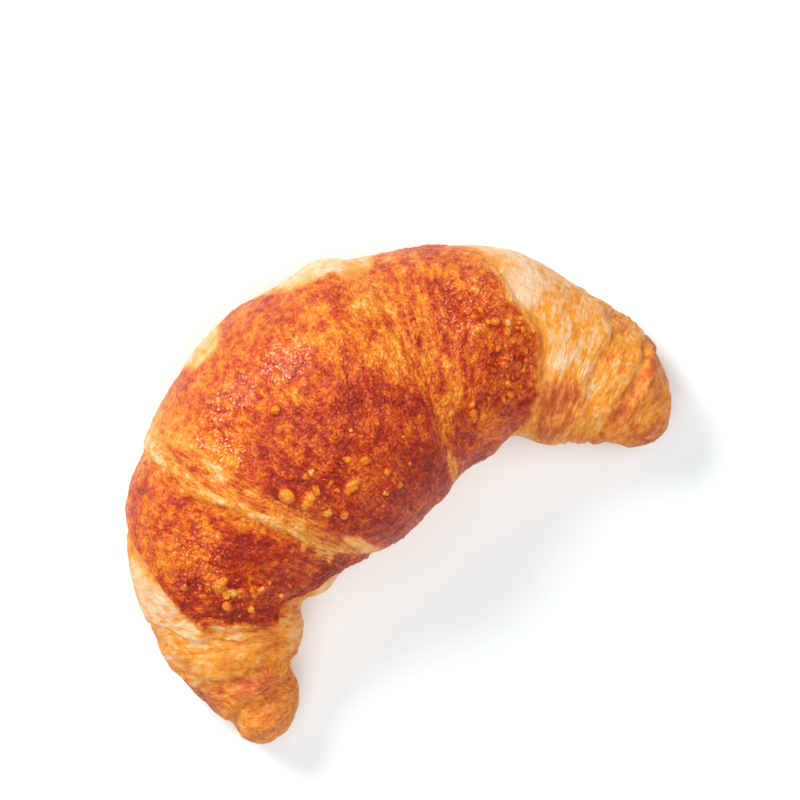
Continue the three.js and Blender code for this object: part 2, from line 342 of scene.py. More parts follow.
def reliefShare(work, around):
    angle = work.maths("ABSOLUTE", around)
    starts, ends = roll["reliefFades"]
    onTop = work.blend(work.share(angle, starts, atSide, True), 1.0, roll["sideShare"])
    return work.blend(work.share(angle, atSide, ends, True), onTop, roll["undersideShare"])


def waves(work, rows, at, around):  # slow rises and falls along and around the roll
    total = 0.0
    for along, times, shift, high in rows:
        total = total + work.sine(at * along + around * times + math.degrees(shift)) * high
    return total


# The largest bubbles: at along the arc, side around the roll, then long, wide and high.
bubbles = [
    (-19.6, -12, 5.2, 3.4, 1.3), (-17.2, -22, 3.2, 7.0, 1.3), (-7.2, -34, 3.4, 6.4, 1.3),
    (-45.2, -20, 4.6, 2.4, 0.9), (-49.2, -14, 3.6, 2.6, 0.9), (42.3, -7, 3.4, 2.6, 0.9),
    (35.4, 10, 4.0, 2.6, 0.8), (3.4, -40, 4.0, 4.0, 0.9), (8.0, -28, 3.6, 3.6, 0.8),
]


def bubbleRise(work, at, around):
    total = 0.0
    for place, side, long, wide, high in bubbles:
        along = (at - place) * (math.radians(roll["radius"]) * 2 / wide)
        across = (around - side) * (math.radians(roll["thickness"]) * 2 / long)
        total = total + work.maths("EXPONENT", -(along * along + across * across)) * high
    return total


def placeTree():  # the group that turns a place on the roll into a point
    inputs = ["At", "Around", "Rise", "Hang"]
    tree, work, given = ruleTree("placeOnRoll", inputs, ["Position", "Girth"], ["Position"])
    at, around, rise, hang = [given.out(name) for name in inputs]
    relief = reliefShare(work, around)
    span = (roll["from"], roll["to"], roll["curveTop"])
    outer, inner, tall = [work.curve(at, *span, roll[key]) for key in ("outer", "inner", "tall")]
    outer = outer - relief * roll["sideTuck"]
    inner = inner + relief * roll["sideTuck"]
    middle = (outer + inner) / 2.0
    half = (outer - inner) / 2.0
    nearest = work.maths("MINIMUM", at - roll["leftEnd"], roll["rightEnd"] - at)
    short = 1.0 - work.share(nearest * (math.pi / 180) * middle, 0.0, roll["capLength"])
    cap = work.maths("SQRT", 1.0 - short * short)
    sideways, upwards = work.sine(around), work.cosine(around)
    above = work.maths("GREATER_THAN", upwards, 0.0)
    fullness = work.blend(above, roll["undersideFullness"], roll["topFullness"])
    level = tall * roll["widestAt"]
    depth = work.blend(above, level * roll["undersideDrop"], tall - level)
    out = work.maths("SIGN", sideways) * work.maths("ABSOLUTE", sideways) ** fullness
    up = work.maths("SIGN", upwards) * work.maths("ABSOLUTE", upwards) ** fullness
    normal = work.vector("NORMALIZE", work.join(out / half, up / depth, 0.0))
    parts = work.node("ShaderNodeSeparateXYZ", inputs={0: normal})
    onHorns = work.share(work.maths("ABSOLUTE", at), *roll["cragsFrom"], True)
    crags = waves(work, roll["crags"], at, around) * onHorns
    uneven = waves(work, roll["lumps"], at, around) + crags
    evenness = work.maths("MAXIMUM", relief, roll["unevenBelow"])
    closing = work.share(cap, 0.0, roll["closing"], True)
    stand = rise * relief * closing + uneven * cap * evenness + bubbleRise(work, at, around) * above
    radius = middle + cap * half * out + parts.out("X") * stand
    high, liftFrom, liftTo = roll["tipLift"]
    lift = work.share(work.maths("ABSOLUTE", at), liftFrom, liftTo, True) * high
    height = work.maths("MAXIMUM", lift + level + cap * depth * up + parts.out("Y") * stand, 0.0)
    turn = at + hang * relief / middle * (180 / math.pi)
    x = work.sine(turn) * radius + roll["centre"][0]
    y = work.cosine(turn) * radius + roll["centre"][1]
    endWith(work, work.stretched(work.join(x, y, height), 1 / metre, 1 / metre, 1 / metre), cap)
    return tree


# The bake of each wrap, from 0 for pale dough to 1 for the darkest crust, and how much glaze it has.
wraps = [
    ("left end roll", 0.47, 0.1),
    ("left brown wrap", 0.46, 0.1),
    ("left flaky wrap", 0.36, 0.1),
    ("left pale wrap", 0.2, 0.0),
    ("left dark wrap", 0.8, 1.0),
    ("middle wrap", 0.72, 1.0),
    ("right dark wrap", 0.68, 1.0),
    ("right pale wrap", 0.3, 0.05),
    ("right flaky wrap", 0.38, 0.1),
    ("right thin wrap", 0.5, 0.1),
    ("right end roll", 0.5, 0.1),
]
# Places darker or paler than their wrap: along the arc and out from its centre, half sizes, bake,
# strength.
patches = [
    (-68.5, 67, 2.8, 14, 0.6, 0.7),  # brown band by the left end roll
    (-79, 62, 3.0, 7, 0.5, 0.6),
    (-8.6, 101.5, 4.2, 4.6, 0.17, 1.0),  # cream notch in the glaze at the back
    (12.5, 101.5, 9.0, 5.6, 0.1, 1.0),
    (17.0, 97.0, 3.0, 4.2, 0.12, 1.0),
    (-21.5, 36, 2.6, 7.5, 0.26, 0.8),  # pale dough in the hollow side's creases
    (24.6, 39, 1.6, 5.5, 0.36, 0.75),
    (-29.6, 50.5, 2.4, 0.9, 0.24, 0.75),  # three puckers
    (-29.4, 46.5, 2.2, 0.8, 0.24, 0.75),
    (-30.2, 43.5, 2.4, 0.8, 0.24, 0.75),
    (-24.5, 76, 3.2, 20, 0.5, 0.5),  # the stretched dough behind the middle wrap's lip
    (29.5, 61, 2.2, 8.0, 0.42, 0.8),  # bright patch
    (25.5, 70, 4.5, 26, 0.55, 0.7),
    (-8, 86, 12, 11, 0.6, 0.8),  # the lighter crown of the middle wrap
    (8, 84, 9, 13, 0.57, 0.8),
    (16.5, 80, 4.5, 18, 0.47, 0.75),
    (19.8, 72, 2.4, 14, 0.46, 0.75),
    (31.5, 81, 6, 11, 0.6, 0.7),
    (-37, 83, 8, 13, 0.56, 0.75),
    (-20.5, 86, 4.2, 13, 0.47, 0.65),  # the pale shoulder of its lip
    (5, 61, 9, 10, 0.84, 0.45),  # darker hollows
    (-11, 57, 10, 7, 0.84, 0.4),
    (-49, 60, 6, 12, 0.88, 0.6),
    (-55, 64, 2.5, 12, 0.36, 0.9),
    (55.8, 56, 5.2, 10.5, 0.76, 0.7),  # brown patch on the right horn
    (53.6, 69, 3.5, 8.0, 0.36, 0.6),
    (43.5, 88, 4.0, 8.5, 0.05, 0.8),
    (39.5, 95.5, 4.5, 3.0, 0.1, 0.8),
    (-40, 54, 9, 9, 0.68, 0.6),  # paler on the hollow side
    (38, 52, 8, 9, 0.63, 0.6),
    (63.5, 64, 2.6, 11, 0.34, 0.6),
    (71, 66, 2.4, 11, 0.56, 0.7),
    (80, 62, 3.0, 6.0, 0.68, 0.8),
]
# Where the dough was pulled into streaks: along, reach, half degrees, half reach, strength.
stretches = [
    (-24.5, 68, 4.0, 34, 0.6),
    (25.5, 66, 5.5, 34, 0.5),
    (-31, 44, 4.0, 9, 0.8),
    (-52, 66, 3.0, 20, 0.4),
]
# Where the glaze is thick and shines: smoother there, and the painted highlight flecks go there too.
polished = [
    (0.5, 83, 5, 6, 1.0),
    (-11, 86, 6, 5, 0.8),
    (-19, 81, 4, 8, 0.8),
    (-40, 75, 7, 8, 0.45),
    (34, 80, 6, 10, 0.4),
]
# The largest blisters: along, reach, half degrees, half reach, height.
bigBlisters = [
    (-19.6, 60, 1.6, 2.2, 1.0),
    (-17.2, 55, 3.2, 1.3, 1.0),
    (-7.2, 49, 3.2, 1.3, 1.0),
    (-44.6, 69, 1.4, 1.6, 0.7),
    (-48.8, 66, 1.2, 1.2, 0.7),
    (41.6, 66, 1.2, 1.4, 0.7),
    (36.5, 74, 1.2, 1.2, 0.6),
    (-2.5, 61, 1.2, 1.3, 0.5),
]
# Where blisters crowd: along, reach, half degrees, half reach, crowd.
blisterCrowds = [
    (-46, 64, 4.5, 16, 1.0),
    (-38, 58, 6, 12, 0.3),
    (43, 70, 6, 14, 0.9),
    (37, 55, 6, 10, 0.55),
    (34, 78, 4, 10, 0.35),
    (-12, 54, 10, 9, 0.45),
    (6, 56, 12, 10, 0.12),
    (-5, 40, 16, 8, 0.15),
]
crustLook = {
    "inputs": {  # of the node tree
        "Columns": 240,
        "Row Gap": 0.58,
        "Ridge Depth": 0.4,
        "Flake Depth": 0.4,
        "Lump Depth": 1.3,
        "Crinkle Depth": 0.35,
    },
    "crowding": 0.45,  # how much closer rows lie by the lips
    "topCrowding": 0.35,  # and columns on the top
    "leastRows": 22,
    "mergeWithin": 0.02,
    # Borders of the wraps: from and to, past the edge, and how much they fray.
    "riser": (2.5, 12.5, 3.0),  # the middle wrap's pale edge
    "riserTone": 0.4,
    "riserGlaze": 0.7,
    "beside": (0.0, 6.5, 8.0),  # the lighter glaze beside it
    "besideTone": 0.56,
    "stainAndCreaseShade": (0.3, 3.4, 4.0),  # the darker dough beside the glaze, in the crease under its lip: partly egg-wash stain, partly painted shade
    "stainAndCreaseShadeTone": 0.44,
    "fringe": (0.2, 2.6, 7.0),  # the paler edge of the other glazed wraps
    "fringeTone": 0.46,
    "crest": (0.3, 1.2, 2.6, 4.4),  # the pale line on the middle wrap's lip: where it starts and ends
    "crestFray": 5.0,
    "crestGaps": (-0.07, 0.09),  # and where the fray breaks it off
    "crestTone": 0.2,
    "fraySize": (0.16, 0.06),  # waves for a degree around and for a row
    "frayNoise": (4.0, 0.65),  # detail and roughness
    # The bake.
    "wobble": (0.16, 4.0, 0.62),  # of a patch's outline: waves per mm, detail and roughness
    "patchWobble": 0.7,
    "patchEdge": (0.45, 1.25),
    "paleBelow": 0.3,  # a patch with less bake than this has no glaze
    "widening": (-0.4, 0.25, 0.35),  # such pale notches widen down the side
    "glazePale": 0.05,
    "inner": (88.0, 44.0),  # out from the arc's centre
    "innerDark": 0.12,  # how much darker the glaze is on the hollow side
    "rim": (89.0, 100.0),
    "rimPale": 0.07,  # and paler on the rim
    "side": (0.02, -0.16, 0.16),  # where the glaze stops, in thicknesses above the middle, and its wobble
    "sideTone": 0.24,
    "under": (-0.5, -0.72, 0.1),
    "underTone": 0.56,
    "hornStreaks": (44.0, 54.0, 0.34),  # from and to along the arc, and how much
    "sideStreaks": 0.7,  # how much fewer on the sides
    "bubbleTone": 0.4,
    "bubbleWobble": 0.25,
    "loneBlisters": 0.015,
    "crowdGlaze": (0.5, 0.9),  # blisters rise in glaze only
    "crowdHeight": (0.3, 0.6),  # and on the top
    # The relief.
    "flakeSize": (0.2, 0.07),  # waves per mm, along the arc and around the roll
    "flakeNoise": (4.0, 0.55),
    "flakeCount": 4.5,
    "flakeBreak": 0.66,  # where a layer stops rising
    "crinkleSize": 1.1,
    "fineSize": 0.6,
    "reliefCrinkles": 2.0,  # how much larger the crinkles are in the relief
    "warp": (0.9, 2.0, 1.4),  # of the crinkles: waves, detail and reach
    "folds": (0.75, 1.0, 6.0),  # waves, detail and sharpness
    "cushions": 0.45,  # their share, against the folds
    "ridgeSize": (0.7, 0.06),
    "ridgeDetail": 3.0,
    "ridgeShare": 0.6,  # of the ridges, on glaze
    "lumpSize": 2.6,
    "lumpNoise": (4.0, 0.6),
    "lumpShare": 0.4,  # of the lumps, on bare dough
    "crinkleShare": 0.3,
    "bubbleHeight": 1.0,
    "bubbleRound": 0.5,
    "smooth": (-0.75, 0.1),  # from here down the relief fades
    "smoothShare": 0.1,
}


def flakes(work, onRoll):  # 0 to 1: thin layers that rise slowly and break off
    along, sideways = crustLook["flakeSize"]
    place = work.stretched(onRoll, along, sideways, sideways)
    scaled = work.noise(place, 1.0, *crustLook["flakeNoise"]) * crustLook["flakeCount"]
    part = scaled - work.maths("FLOOR", scaled)
    breaks = crustLook["flakeBreak"]
    return work.share(part, 0.0, breaks) - work.share(part, breaks, 1.0, True)


def crinkles(work, place, size):  # 0 to 1: plump cushions with winding creases between them
    count, detail, reach = crustLook["warp"]
    values = {"Vector": place, "Scale": count / size, "Detail": detail}
    warp = work.node("ShaderNodeTexNoise", inputs=values).out("Color")
    bent = work.vector("ADD", place, work.scaled(warp, size * reach))
    cells = work.node("ShaderNodeTexVoronoi", {"feature": "F1"}, {"Vector": bent, "Scale": 1 / size})
    count, detail, sharpness = crustLook["folds"]
    folds = work.maths("ABSOLUTE", work.noise(place, count / size, detail) - 0.5)
    folds = work.maths("MINIMUM", folds * sharpness, 1.0)
    return (1.0 - cells) * crustLook["cushions"] + folds * (1.0 - crustLook["cushions"])


def wrapRise(work, before, after, part, pastLeft, pastRight):  # how high a wrap stands, and hangs over
    rises, hang = [], 0.0
    if before and before["faces"] < 0:
        rises.append(lipRise(work, before, pastLeft))
        hang = overhang(work, before, pastLeft)
    if after and after["faces"] > 0:
        rises.append(lipRise(work, after, pastRight))
        hang = overhang(work, after, pastRight) + hang
    rise = roll["flatRise"]
    if rises:
        rise = rises[0] if len(rises) == 1 else work.maths("MINIMUM", *rises)
    if after and after["faces"] < 0:  # it sinks under its neighbour
        kept = 1.0 - work.share(part, roll["sinksAfter"], 1.0, True)
        rise, hang = kept * rise, kept * hang
    if before and before["faces"] > 0:
        kept = 1.0 - work.share(part, 1.0 - roll["sinksAfter"], 0.0, True)
        rise, hang = kept * rise, kept * hang
    return rise, hang


def border(work, name, past, fray):  # 0 to 1 across an uneven border
    starts, ends, uneven = crustLook[name]
    return work.share(past + fray * uneven, starts, ends, True)


def wrapTone(work, wrap, before, pastLeft, pastRight, fray):  # a wrap's bake and glaze
    name, tone, glaze = wrap
    if name == "middle wrap":
        riser = border(work, "riser", pastLeft, fray)
        tone = work.blend(riser, crustLook["riserTone"], tone)
        starts, full, fades, ends = crustLook["crest"]
        past = pastLeft + fray * crustLook["crestFray"]
        crest = work.share(past, starts, full, True) * work.share(past, ends, fades, True)
        crest = crest * work.share(fray, *crustLook["crestGaps"])
        tone = work.blend(crest, tone, crustLook["crestTone"])
        glaze = riser * (1.0 - crustLook["riserGlaze"]) + crustLook["riserGlaze"]
    elif glaze == 1.0:  # the glaze ends unevenly at a lip
        past = pastLeft if before["faces"] < 0 else pastRight
        glaze = border(work, "fringe", past, fray)
        tone = work.blend(glaze, crustLook["fringeTone"], tone)
        if name == "left dark wrap":
            lighter = border(work, "beside", pastRight, fray)
            tone = work.blend(lighter, crustLook["besideTone"], tone)
    elif name in ("left pale wrap", "right pale wrap"):
        # Partly egg-wash stain and partly painted shade: darker dough in the crease under the glazed lip.
        past = pastRight if name == "left pale wrap" else pastLeft
        tone = work.blend(border(work, "stainAndCreaseShade", past, fray), crustLook["stainAndCreaseShadeTone"], tone)
    return tone, glaze


def wrapGrid(work, wrap, before, after, start, end, shared):
    first = before["front"] if before else roll["leftEnd"]
    last = after["front"] if after else roll["rightEnd"]
    usual = math.radians(last - first) * roll["radius"]
    rows = work.maths("CEIL", usual / shared["rowGap"])
    rows = work.maths("MAXIMUM", rows, crustLook["leastRows"])
    t = shared["row"] / (rows - 1.0)
    if before and after:
        part = t - work.sine(t * 360.0) * (crustLook["crowding"] / (2 * math.pi))
    else:
        part = 0.5 - work.cosine(t * 180.0) * 0.5
    length = end - start
    at = start + length * part
    width = length * math.radians(roll["radius"])
    pastLeft = width * part
    pastRight = width - pastLeft
    rise, hang = wrapRise(work, before, after, part, pastLeft, pastRight)
    tone, glaze = wrapTone(work, wrap, before, pastLeft, pastRight, shared["fray"])
    values = {"At": at, "Around": shared["around"], "Rise": rise, "Hang": hang}
    place = work.group(shared["placing"], values)
    sides = {"Vertices X": rows, "Vertices Y": shared["columns"]}
    grid = work.node("GeometryNodeMeshGrid", inputs=sides)
    shaped = work.node("GeometryNodeSetPosition", inputs={"Geometry": grid, "Position": place})
    girth = place.out("Girth")
    sideways, upwards = shared["sideways"] * girth, shared["upwards"] * girth
    onRoll = work.join(at * math.radians(roll["radius"]), sideways, upwards)
    kept = work.keep(shaped, "rollPlace", onRoll, "FLOAT_VECTOR")
    return work.keep(work.keep(kept, "bake", tone), "glaze", glaze)


def crustTree(material):
    tree, work, given = newTree("rolledCrust", crustLook["inputs"])
    columns = given.out("Columns")
    index = work.node("GeometryNodeInputIndex")
    row = work.maths("FLOOR", (index + 0.5) / columns)
    across = (index - row * columns) / (columns - 1.0) - 0.5
    crowding = work.sine(across * 360.0) * (crustLook["topCrowding"] / (2 * math.pi))
    around = (across - crowding) * 360.0
    perDegree, perRow = crustLook["fraySize"]
    frayPlace = work.join(around * perDegree, row * perRow, 0.0)
    shared = {
        "columns": columns,
        "rowGap": given.out("Row Gap"),
        "row": row,
        "around": around,
        "fray": work.noise(frayPlace, 1.0, *crustLook["frayNoise"]) - 0.5,
        "placing": placeTree(),
        "sideways": work.sine(around) * roll["thickness"],
        "upwards": work.cosine(around) * roll["thickness"],
    }
    places = [roll["leftEnd"]] + edgeWires(work, around) + [roll["rightEnd"]]
    bounds = [None] + edges + [None]
    joined = work.node("GeometryNodeJoinGeometry")
    for i in reversed(range(len(wraps))):
        start, end = places[i], places[i + 1]
        kept = wrapGrid(work, wraps[i], bounds[i], bounds[i + 1], start, end, shared)
        work.tree.links.new(kept.socket, joined.socket.node.inputs[0])
    merging = {"Geometry": joined, "Distance": crustLook["mergeWithin"] / metre}
    skin = work.node("GeometryNodeMergeByDistance", inputs=merging)

    position = work.node("GeometryNodeInputPosition")
    place = work.stretched(position, metre, metre, metre)
    skin = work.keep(skin, "plainPlace", place, "FLOAT_VECTOR")
    place = work.attribute("plainPlace", "FLOAT_VECTOR")
    onRoll = work.attribute("rollPlace", "FLOAT_VECTOR")
    bake, glaze = work.attribute("bake"), work.attribute("glaze")
    baked = work.group(bakeTree(), {"Place": place, "On Roll": onRoll, "Bake": bake, "Glaze": glaze})
    for name, result in bakedLayers.items():
        skin = work.keep(skin, name, baked.out(result))

    heights = reliefOf(work, given, place, onRoll, work.attribute("glazed"))
    normal = work.node("GeometryNodeInputNormal")
    offset = work.vector("MULTIPLY", normal, work.join(heights, heights, heights))
    skin = work.node("GeometryNodeSetPosition", inputs={"Geometry": skin, "Offset": offset})
    parts = work.node("ShaderNodeSeparateXYZ", inputs={0: position})
    onTable = work.join(parts.out("X"), parts.out("Y"), work.maths("MAXIMUM", parts.out("Z"), 0.0))
    skin = work.node("GeometryNodeSetPosition", inputs={"Geometry": skin, "Position": onTable})
    skin = work.node("GeometryNodeSetShadeSmooth", inputs={0: skin})
    finishTree(work, skin, material)
    return tree


patchLabels = ["Along", "Reach", "Half Degrees", "Half Reach", "Strength"]
bakedLayers = {  # what the bake's rule gives, by the name it is kept under
    "toneBaked": "Bake",
    "glazed": "Glaze",
    "crowd": "Crowd",
    "stretched": "Stretch",
    "bubble": "Bubble",
    "polished": "Polish",
}


def patchTree():  # 1 inside an uneven oval and 0 beside it
    tree, work, given = ruleTree("patchMask", ["At", "Flat", "Wobble", "Narrow"] + patchLabels, ["Mask"])
    x = (given.out("At") - given.out("Along")) / given.out("Half Degrees") * given.out("Narrow")
    y = (given.out("Flat") - given.out("Reach")) / given.out("Half Reach")
    far = work.share(x * x + y * y + given.out("Wobble"), *crustLook["patchEdge"], True)
    endWith(work, (1.0 - far) * given.out("Strength"))
    return tree


def patchSum(work, rule, common, rows, total=0.0):  # adds up the ovals of a list
    for row in rows:
        total = work.group(rule, {**common, **dict(zip(patchLabels, row))}) + total
    return total


def bakeTree():  # how dark each place is, and how much glaze it has
    vectors = ["Place", "On Roll"]
    results = list(bakedLayers.values())
    tree, work, given = ruleTree("bakeRule", vectors + ["Bake", "Glaze"], results, vectors)
    place = given.out("Place")
    x, y = roll["centre"]
    flat = work.stretched(work.vector("SUBTRACT", place, (x, y, 0.0)), 1.0, 1.0, 0.0)
    flat = work.node("ShaderNodeVectorMath", {"operation": "LENGTH"}, {0: flat}, output="Value")
    parts = work.node("ShaderNodeSeparateXYZ", inputs={0: given.out("On Roll")})
    at = parts * (1 / math.radians(roll["radius"]))
    up = parts.out("Z") * (1 / roll["thickness"])
    wobble = (work.noise(place, *crustLook["wobble"]) - 0.5) * 2.0
    bake, glaze = given.out("Bake"), given.out("Glaze")
    bake = bake + work.share(flat, *crustLook["inner"]) * glaze * crustLook["innerDark"]
    bake = bake - glaze * crustLook["glazePale"]
    bake = bake - work.share(flat, *crustLook["rim"]) * glaze * crustLook["rimPale"]

    rule = patchTree()
    lowest, highest, least = crustLook["widening"]
    narrow = work.blend(work.share(up, lowest, highest), least, 1.0)
    uneven = wobble * crustLook["patchWobble"]
    common = {"At": at, "Flat": flat, "Wobble": uneven, "Narrow": 1.0}
    for *oval, tone, strength in patches:
        values = {**common, **dict(zip(patchLabels, oval + [strength]))}
        isPale = tone < crustLook["paleBelow"]
        if isPale:
            values["Narrow"] = narrow
        mask = work.group(rule, values)
        if isPale:
            glaze = glaze * (1.0 - mask)
        bake = work.blend(mask, bake, tone)

    starts, ends, uneven = crustLook["side"]
    low = work.share(up + wobble * uneven, starts, ends, True)
    bake = work.blend(low, bake, crustLook["sideTone"])
    glaze = glaze * (1.0 - low)
    starts, ends, uneven = crustLook["under"]
    under = work.share(up + wobble * uneven, starts, ends, True)
    bake = work.blend(under, bake, crustLook["underTone"])

    starts, full, most = crustLook["hornStreaks"]
    stretch = work.share(work.maths("ABSOLUTE", at), starts, full, True) * most
    stretch = stretch * (1.0 - low * crustLook["sideStreaks"])
    stretch = patchSum(work, rule, common, stretches, stretch)
    polish = patchSum(work, rule, common, polished)
    crowd = patchSum(work, rule, common, blisterCrowds, crustLook["loneBlisters"])
    crowd = crowd * work.share(glaze, *crustLook["crowdGlaze"]) * work.share(up, *crustLook["crowdHeight"])
    rounder = {**common, "Wobble": wobble * crustLook["bubbleWobble"]}
    bubble = patchSum(work, rule, rounder, bigBlisters)
    bake = work.blend(bubble, bake, crustLook["bubbleTone"])
    endWith(work, bake, glaze, crowd, stretch, bubble, polish)
    return tree


def reliefOf(work, given, place, onRoll, glaze):  # in metres, outwards
    parts = work.node("ShaderNodeSeparateXYZ", inputs={0: onRoll})
    up = parts.out("Z") * (1 / roll["thickness"])
    flaky = 1.0 - glaze

    def rising(least, share):
        return share * (1.0 - least) + least

    along, sideways = crustLook["ridgeSize"]
    ridgePlace = work.stretched(onRoll, along, sideways, sideways)
    ridges = work.noise(ridgePlace, 1.0, crustLook["ridgeDetail"]) - 0.5
    lumps = work.noise(place, 1 / crustLook["lumpSize"], *crustLook["lumpNoise"]) - 0.5
    crinkle = crinkles(work, place, crustLook["crinkleSize"] * crustLook["reliefCrinkles"]) - 0.5
    height = ridges * given.out("Ridge Depth") * (flaky + crustLook["ridgeShare"])
    height = height + (flakes(work, onRoll) - 0.5) * given.out("Flake Depth") * flaky
    height = height + lumps * given.out("Lump Depth") * rising(crustLook["lumpShare"], glaze)
    height = height + crinkle * given.out("Crinkle Depth") * rising(crustLook["crinkleShare"], glaze)
    bubble = work.attribute("bubble") ** crustLook["bubbleRound"]
    height = height + bubble * crustLook["bubbleHeight"]
    fade = work.share(up, *crustLook["smooth"], True)
    return height * rising(crustLook["smoothShare"], fade) * (1 / metre)


def shaderWork(material):
    material.use_nodes = True
    material.node_tree.nodes.clear()
    return NodeWork(material.node_tree)


crustPaint = {
    "stops": [
        (0.0, linear(240, 205, 162)),
        (0.16, linear(238, 186, 136)),
        (0.34, linear(236, 151, 34)),
        (0.5, linear(224, 121, 22)),
        (0.66, linear(205, 80, 13)),
        (0.82, linear(170, 45, 9)),
        (1.0, linear(134, 28, 8)),
    ],
    # Noises along the roll: waves per mm, the same sideways, detail, roughness.
    "mottle": (0.66, 0.4, 4.0, 0.64),
    "streak": (0.7, 0.11, 4.0, 0.66),
    "thread": (1.8, 0.2, 3.0, 0.6),
    # Noises by place: waves per mm, detail, roughness.
    "blotch": (0.36, 3.0, 0.68),
    "cloud": (0.12, 2.0, 0.5),
    "cloudShift": (37.0, 11.0, 5.0),
    "grain": (0.5, 1.5),
    # What they add to the bake. A pair is the least, and how much more on glaze or on stretched dough.
    "mottleTone": (0.3, 0.45),
    "blotchTone": (0.2, 0.5),
    "cloudTone": 0.65,
    "evenBubbles": 0.7,
    "streakTone": (0.4, 1.1),
    "threadTone": (0.1, 0.8),  # on bare dough, and on stretched dough
    "crinkleTone": (0.06, 0.14),
    "fineTone": 0.2,
    "flakeTone": 0.12,
    "dry": linear(228, 168, 112),  # pale threads on golden dough
    "dryFrom": (0.28, 0.42),
    "dryUntil": (0.75, 0.5),
    "dryShare": (0.05, 0.27),
    "fibres": (0.1, -0.15),
    "fibreThreads": 0.7,
    "toasted": linear(186, 105, 46),  # the brown of the horns, where no glaze is
    "toastedFrom": (0.46, 0.62),
    "toastedShare": 0.45,
    "skin": linear(250, 212, 168),  # painted highlight: pale flecks that stand in for glints on the thick glaze
    "glintFleckFrom": (0.16, 0.36),
    "glintFleckCrinkles": 0.6,
    "glintFleckShare": 0.64,
    "bump": 0.45,
    "crinkleBump": (0.3, 0.5),
    "polishFlat": 0.45,
    "flakeBump": 0.2,
    "fineBump": 0.22,
    "streakBump": (0.3, 1.5),
    "threadBump": (0.2, 1.4),
    "roughness": 0.6,
    "shine": (0.16, 0.31),  # of glaze, and how much more where it is thick
    "mottleRoughness": 0.15,
    "specular": 0.4,
}


def crustMaterial():
    look = crustPaint
    material = bpy.data.materials.new("bakedCrust")
    work = shaderWork(material)

    def stored(name, output="Fac"):
        return work.node("ShaderNodeAttribute", {"attribute_name": name}, output=output)

    place, onRoll = stored("plainPlace", "Vector"), stored("rollPlace", "Vector")
    bake, glaze, stretch = stored("toneBaked"), stored("glazed"), stored("stretched")
    polish, bubble = stored("polished"), stored("bubble")
    flaky = 1.0 - glaze

    def alongRoll(name):
        along, sideways, detail, roughness = look[name]
        bent = work.stretched(onRoll, along, sideways, sideways)
        return work.noise(bent, 1.0, detail, roughness) - 0.5

    def rising(name, share):
        least, more = look[name]
        return share * more + least

    def torn(name):
        bare, pulled = look[name]
        return flaky * bare + stretch * pulled

    mottle, streak, thread = alongRoll("mottle"), alongRoll("streak"), alongRoll("thread")
    blotch = work.noise(place, *look["blotch"]) - 0.5
    cloud = work.noise(work.vector("ADD", place, look["cloudShift"]), *look["cloud"]) - 0.5
    crinkle = crinkles(work, place, crustLook["crinkleSize"]) - 0.5
    fine = crinkles(work, place, crustLook["fineSize"]) - 0.5
    flake = flakes(work, onRoll) - 0.5

    even = 1.0 - bubble * look["evenBubbles"]
    spots = mottle * rising("mottleTone", glaze) + blotch * rising("blotchTone", glaze)
    tone = bake + even * (spots + cloud * look["cloudTone"])
    tone = tone + streak * rising("streakTone", stretch) + thread * torn("threadTone")
    tone = tone - crinkle * rising("crinkleTone", glaze)
    tone = tone - fine * glaze * look["fineTone"] - flake * flaky * look["flakeTone"]
    colour = work.node("ShaderNodeValToRGB", {"stops": look["stops"]}, {0: tone})

    toasted = flaky * work.share(tone, *look["toastedFrom"], True) * look["toastedShare"]
    fibres = work.share(streak + thread * look["fibreThreads"], *look["fibres"], True)
    dryness = flaky * work.share(tone, *look["dryFrom"], True) * work.share(tone, *look["dryUntil"])
    dryness = dryness * rising("dryShare", fibres)
    # Painted highlight: pale glint-like flecks on the crinkle tops where the glaze is polished.
    skin = work.share(fine + crinkle * look["glintFleckCrinkles"], *look["glintFleckFrom"], True)
    skin = glaze * polish * skin * look["glintFleckShare"]
    colour = work.tint(toasted, colour, look["toasted"])
    colour = work.tint(dryness, colour, look["dry"])
    colour = work.tint(skin, colour, look["skin"])

    height = crinkle * rising("crinkleBump", glaze) * (1.0 - polish * look["polishFlat"])
    height = height + work.noise(place, *look["grain"]) + flake * flaky * look["flakeBump"]
    height = height + fine * glaze * look["fineBump"]
    height = height + streak * torn("streakBump") + thread * torn("threadBump")
    bumping = {"Strength": 1.0, "Distance": look["bump"] / metre, "Height": height}
    roughness = look["roughness"] - glaze * rising("shine", polish) + mottle * look["mottleRoughness"]
    surface = work.node("ShaderNodeBsdfPrincipled", inputs={
        "Base Color": colour,
        "Roughness": roughness,
        "Specular IOR Level": look["specular"],
        "Normal": work.node("ShaderNodeBump", inputs=bumping),
    })
    work.node("ShaderNodeOutputMaterial", inputs={"Surface": surface})
    return material


print("Baking the crust")
bakedCrust = crustMaterial()
crust = madeBy(crustTree(bakedCrust), "crust", crustLook["inputs"])
print("crust faces", len(crust.data.polygons))
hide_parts("croissant")
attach(crust, "root")

# The small blisters that the glaze raised: round, and paler on top.
blisterLook = {
    "inputs": {  # of the node tree
        "Crowding": 170000.0,  # for each square metre, at most
        "Smallest": 0.32,
        "Largest": 1.5,
        "Flatness": 0.62,
        "Seed": 7,
    },
    "sizeSeed": 3,
    "smallness": 2.6,  # the higher, the fewer large ones
    "lengthSeed": 5,
    "lengths": (0.85, 1.2),
    "subdivisions": 2,
    "dent": 0.8,
    "dentSize": 0.9,  # waves per mm
    "top": (0.1, 0.95),
    "footTone": 0.66,
    "topTone": 0.45,
    "toneNoise": (0.5, 1.0),
    "toneSpread": 0.4,
}


